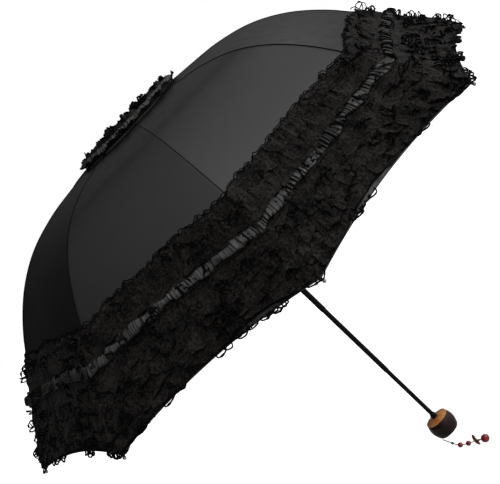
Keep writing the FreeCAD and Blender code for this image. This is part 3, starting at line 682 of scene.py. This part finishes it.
# ---------------------------------------------------------------------------------------------------------------------
# Flower cap of the charm
# ---------------------------------------------------------------------------------------------------------------------
FLOWER_ROOT = Vector((0.0139, 0, -0.0404))   # closed end of the flower cap
FLOWER_SLOPE = math.radians(-8)              # slopes of the flower cap and of its stem in the XZ plane
STEM_SLOPE = math.radians(-32)
PETALS = 5
STEM_STEPS = (0.0006, 0.002, 0.005, 0.0085, 0.0104)    # along the stem
STEM_RADII = (0.0012, 0.0026, 0.0020, 0.0012, 0.0010)


def make_flower():
    """Five-petal metal cap opening towards the berry, with the stem that carries the berry."""
    ahead = Vector((math.cos(FLOWER_SLOPE), 0, math.sin(FLOWER_SLOPE)))
    spin = ahead.to_track_quat("Z", "Y").to_matrix()
    turn = np.linspace(0, 2 * math.pi, 100, endpoint=False)
    level = np.linspace(0, 1, 12)[:, None]
    petal = np.abs(np.cos(PETALS / 2 * turn))
    radius = 0.0014 + 0.0084 * level**0.7 * (0.55 + 0.45 * petal**0.6)
    height = 0.0004 + 0.0048 * level**1.6 - 0.0016 * level**2 * petal
    local = np.stack([radius * np.cos(turn), radius * np.sin(turn), height], -1)
    points = local.reshape(-1, 3) @ np.array(spin).T + np.array(FLOWER_ROOT)
    build = Builder()
    build.grid(points.reshape(local.shape), wrap=True)
    along = Vector((math.cos(STEM_SLOPE), 0, math.sin(STEM_SLOPE)))
    stem = [FLOWER_ROOT + along * step for step in STEM_STEPS]
    build.tube(np.array(stem), np.array(STEM_RADII), kind=1, sides=12)
    piece = build.build("flower_cap", [COPPER, BRONZE])
    thicken(piece, 0.0005)
    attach(piece, "charm_end")
    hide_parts("charm_flower")


make_flower()


# ---------------------------------------------------------------------------------------------------------------------
# Finishes of the pieces that stay as designed
# ---------------------------------------------------------------------------------------------------------------------
CRIMP_REACH = 0.006   # the black crimp lies this near the top of the string of beads


def finish_nodes():
    for name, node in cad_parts.items():
        material = STEEL
        if name in ("top_tube", "tube_2", "tube_3", "handle_tube"):
            material = TUBE
        elif name.startswith("rib_tip"):
            material = CHROME
        elif name in ("top_notch", "runner", "runner_catch", "crown_cap", "knob_collar"):
            material = PLASTIC
        elif name == "knob_body":
            material = KNOB
        elif name == "knob_top_plate":
            material = AMBER
        elif name == "charm_cord":
            material = CORD_AND_SHADE
        elif name == "charm_beads":
            material = RED
        elif name == "charm_berry":
            material = BERRY
        node.data.materials.clear()
        node.data.materials.append(material)
        if name == "charm_beads":
            node.data.materials.append(CORD_AND_SHADE)
            top = max(vertex.co.z for vertex in node.data.vertices)
            for face in node.data.polygons:
                face.material_index = int(face.center.z > top - CRIMP_REACH)


finish_nodes()


# ---------------------------------------------------------------------------------------------------------------------
# Floor, light and camera
# ---------------------------------------------------------------------------------------------------------------------
FLOOR_REACH = 6.0
FLOOR_Z = -0.10
# Soft boxes: name, place, side and power in watts. They stand over the right shoulder of the camera, beside the
# knob, and behind the canopy on the right.
LAMPS = [("key", (2.2, -1.3, 1.6), 1.4, 9), ("edge", (2.5, 0.1, 0.9), 1.2, 5), ("far", (2.0, 1.5, 2.1), 1.4, 5)]
SKY_AIM = (0.62, -0.22, 0.70)      # where the studio's light mostly comes from
CAMERA_AZIMUTH, CAMERA_ELEVATION, CAMERA_ROLL = math.radians(-3.05), math.radians(10.12), math.radians(46.23)
CAMERA_DISTANCE = 1.8873
CAMERA_LENS = 96.5


def make_floor():
    """Wide pale floor. The camera sees it glow a little, so that it stays as pale as the backdrop."""
    mesh = bpy.data.meshes.new("floor")
    corners = [(x * FLOOR_REACH, y * FLOOR_REACH, FLOOR_Z) for x, y in ((-1, -1), (1, -1), (1, 1), (-1, 1))]
    mesh.from_pydata(corners, [], [(0, 1, 2, 3)])
    floor = bpy.data.objects.new("floor", mesh)
    bpy.context.scene.collection.objects.link(floor)
    n = Nodes("floor_paper")
    seen = n.make("ShaderNodeLightPath").outputs["Is Camera Ray"]
    n.set(Base_Color=n.ramp(n.noise(2.0), [(0.3, grey(0.60)), (0.7, grey(0.64))]), Roughness=0.9)
    n.set(Emission_Color=(1, 1, 1, 1), Emission_Strength=n.math("MULTIPLY", seen, 0.95))
    n.bump(n.noise(60.0), 0.05, 0.001)
    mesh.materials.append(n.material)


def make_world():
    """White backdrop for the camera. Its light falls mostly from above, on the camera's right."""
    world = bpy.data.worlds.new("studio")
    world.use_nodes = True
    tree = world.node_tree
    backdrop = tree.nodes["Background"]
    place = tree.nodes.new("ShaderNodeTexCoord").outputs["Generated"]
    lean = tree.nodes.new("ShaderNodeVectorMath")
    lean.operation = "DOT_PRODUCT"
    lean.inputs[1].default_value = Vector(SKY_AIM).normalized()
    tree.links.new(place, lean.inputs[0])
    ramp = tree.nodes.new("ShaderNodeMapRange")
    for key, value in (("From Min", -0.15), ("From Max", 1.0), ("To Min", 0.12), ("To Max", 1.05)):
        ramp.inputs[key].default_value = value
    tree.links.new(lean.outputs["Value"], ramp.inputs["Value"])
    falloff = tree.nodes.new("ShaderNodeMath")
    falloff.operation = "POWER"
    falloff.inputs[1].default_value = 1.5
    tree.links.new(ramp.outputs["Result"], falloff.inputs[0])
    seen = tree.nodes.new("ShaderNodeLightPath").outputs["Is Camera Ray"]
    pick = tree.nodes.new("ShaderNodeMath")
    pick.operation = "MAXIMUM"
    tree.links.new(seen, pick.inputs[0])
    tree.links.new(falloff.outputs[0], pick.inputs[1])
    tree.links.new(pick.outputs[0], backdrop.inputs["Strength"])
    backdrop.inputs["Color"].default_value = (1, 1, 1, 1)
    bpy.context.scene.world = world


def make_lights():
    """The soft boxes, all turned to the middle of the canopy."""
    for name, place, size, power in LAMPS:
        data = bpy.data.lights.new(name, "AREA")
        data.size = size
        data.energy = power
        lamp = bpy.data.objects.new(name, data)
        lamp.location = place
        aim = Vector((0, 0, RIM_Z + 0.1)) - Vector(place)
        lamp.rotation_euler = aim.to_track_quat("-Z", "Y").to_euler()
        bpy.context.scene.collection.objects.link(lamp)
    bpy.context.scene.view_settings.view_transform = "Standard"


def make_camera():
    """Camera just above the rim plane, rolled so that the shaft runs from upper left to lower right."""
    azimuth, elevation, roll = CAMERA_AZIMUTH, CAMERA_ELEVATION, CAMERA_ROLL
    aim = Vector((-0.0026, 0.0016, RIM_Z + 0.0081))
    level = math.cos(elevation)
    back = Vector((math.sin(azimuth) * level, -math.cos(azimuth) * level, math.sin(elevation)))
    level_right = (-back).cross(Vector((0, 0, 1))).normalized()
    level_up = level_right.cross(-back)
    up = level_up * math.cos(roll) + level_right * math.sin(roll)
    right = (-back).cross(up)
    data = bpy.data.cameras.new("camera")
    data.lens = CAMERA_LENS
    camera = bpy.data.objects.new("camera", data)
    turn = Matrix((right, up, back)).transposed().to_4x4()
    camera.matrix_world = Matrix.Translation(aim + back * CAMERA_DISTANCE) @ turn
    bpy.context.scene.collection.objects.link(camera)
    bpy.context.scene.camera = camera


make_floor()
make_world()
make_lights()
make_camera()
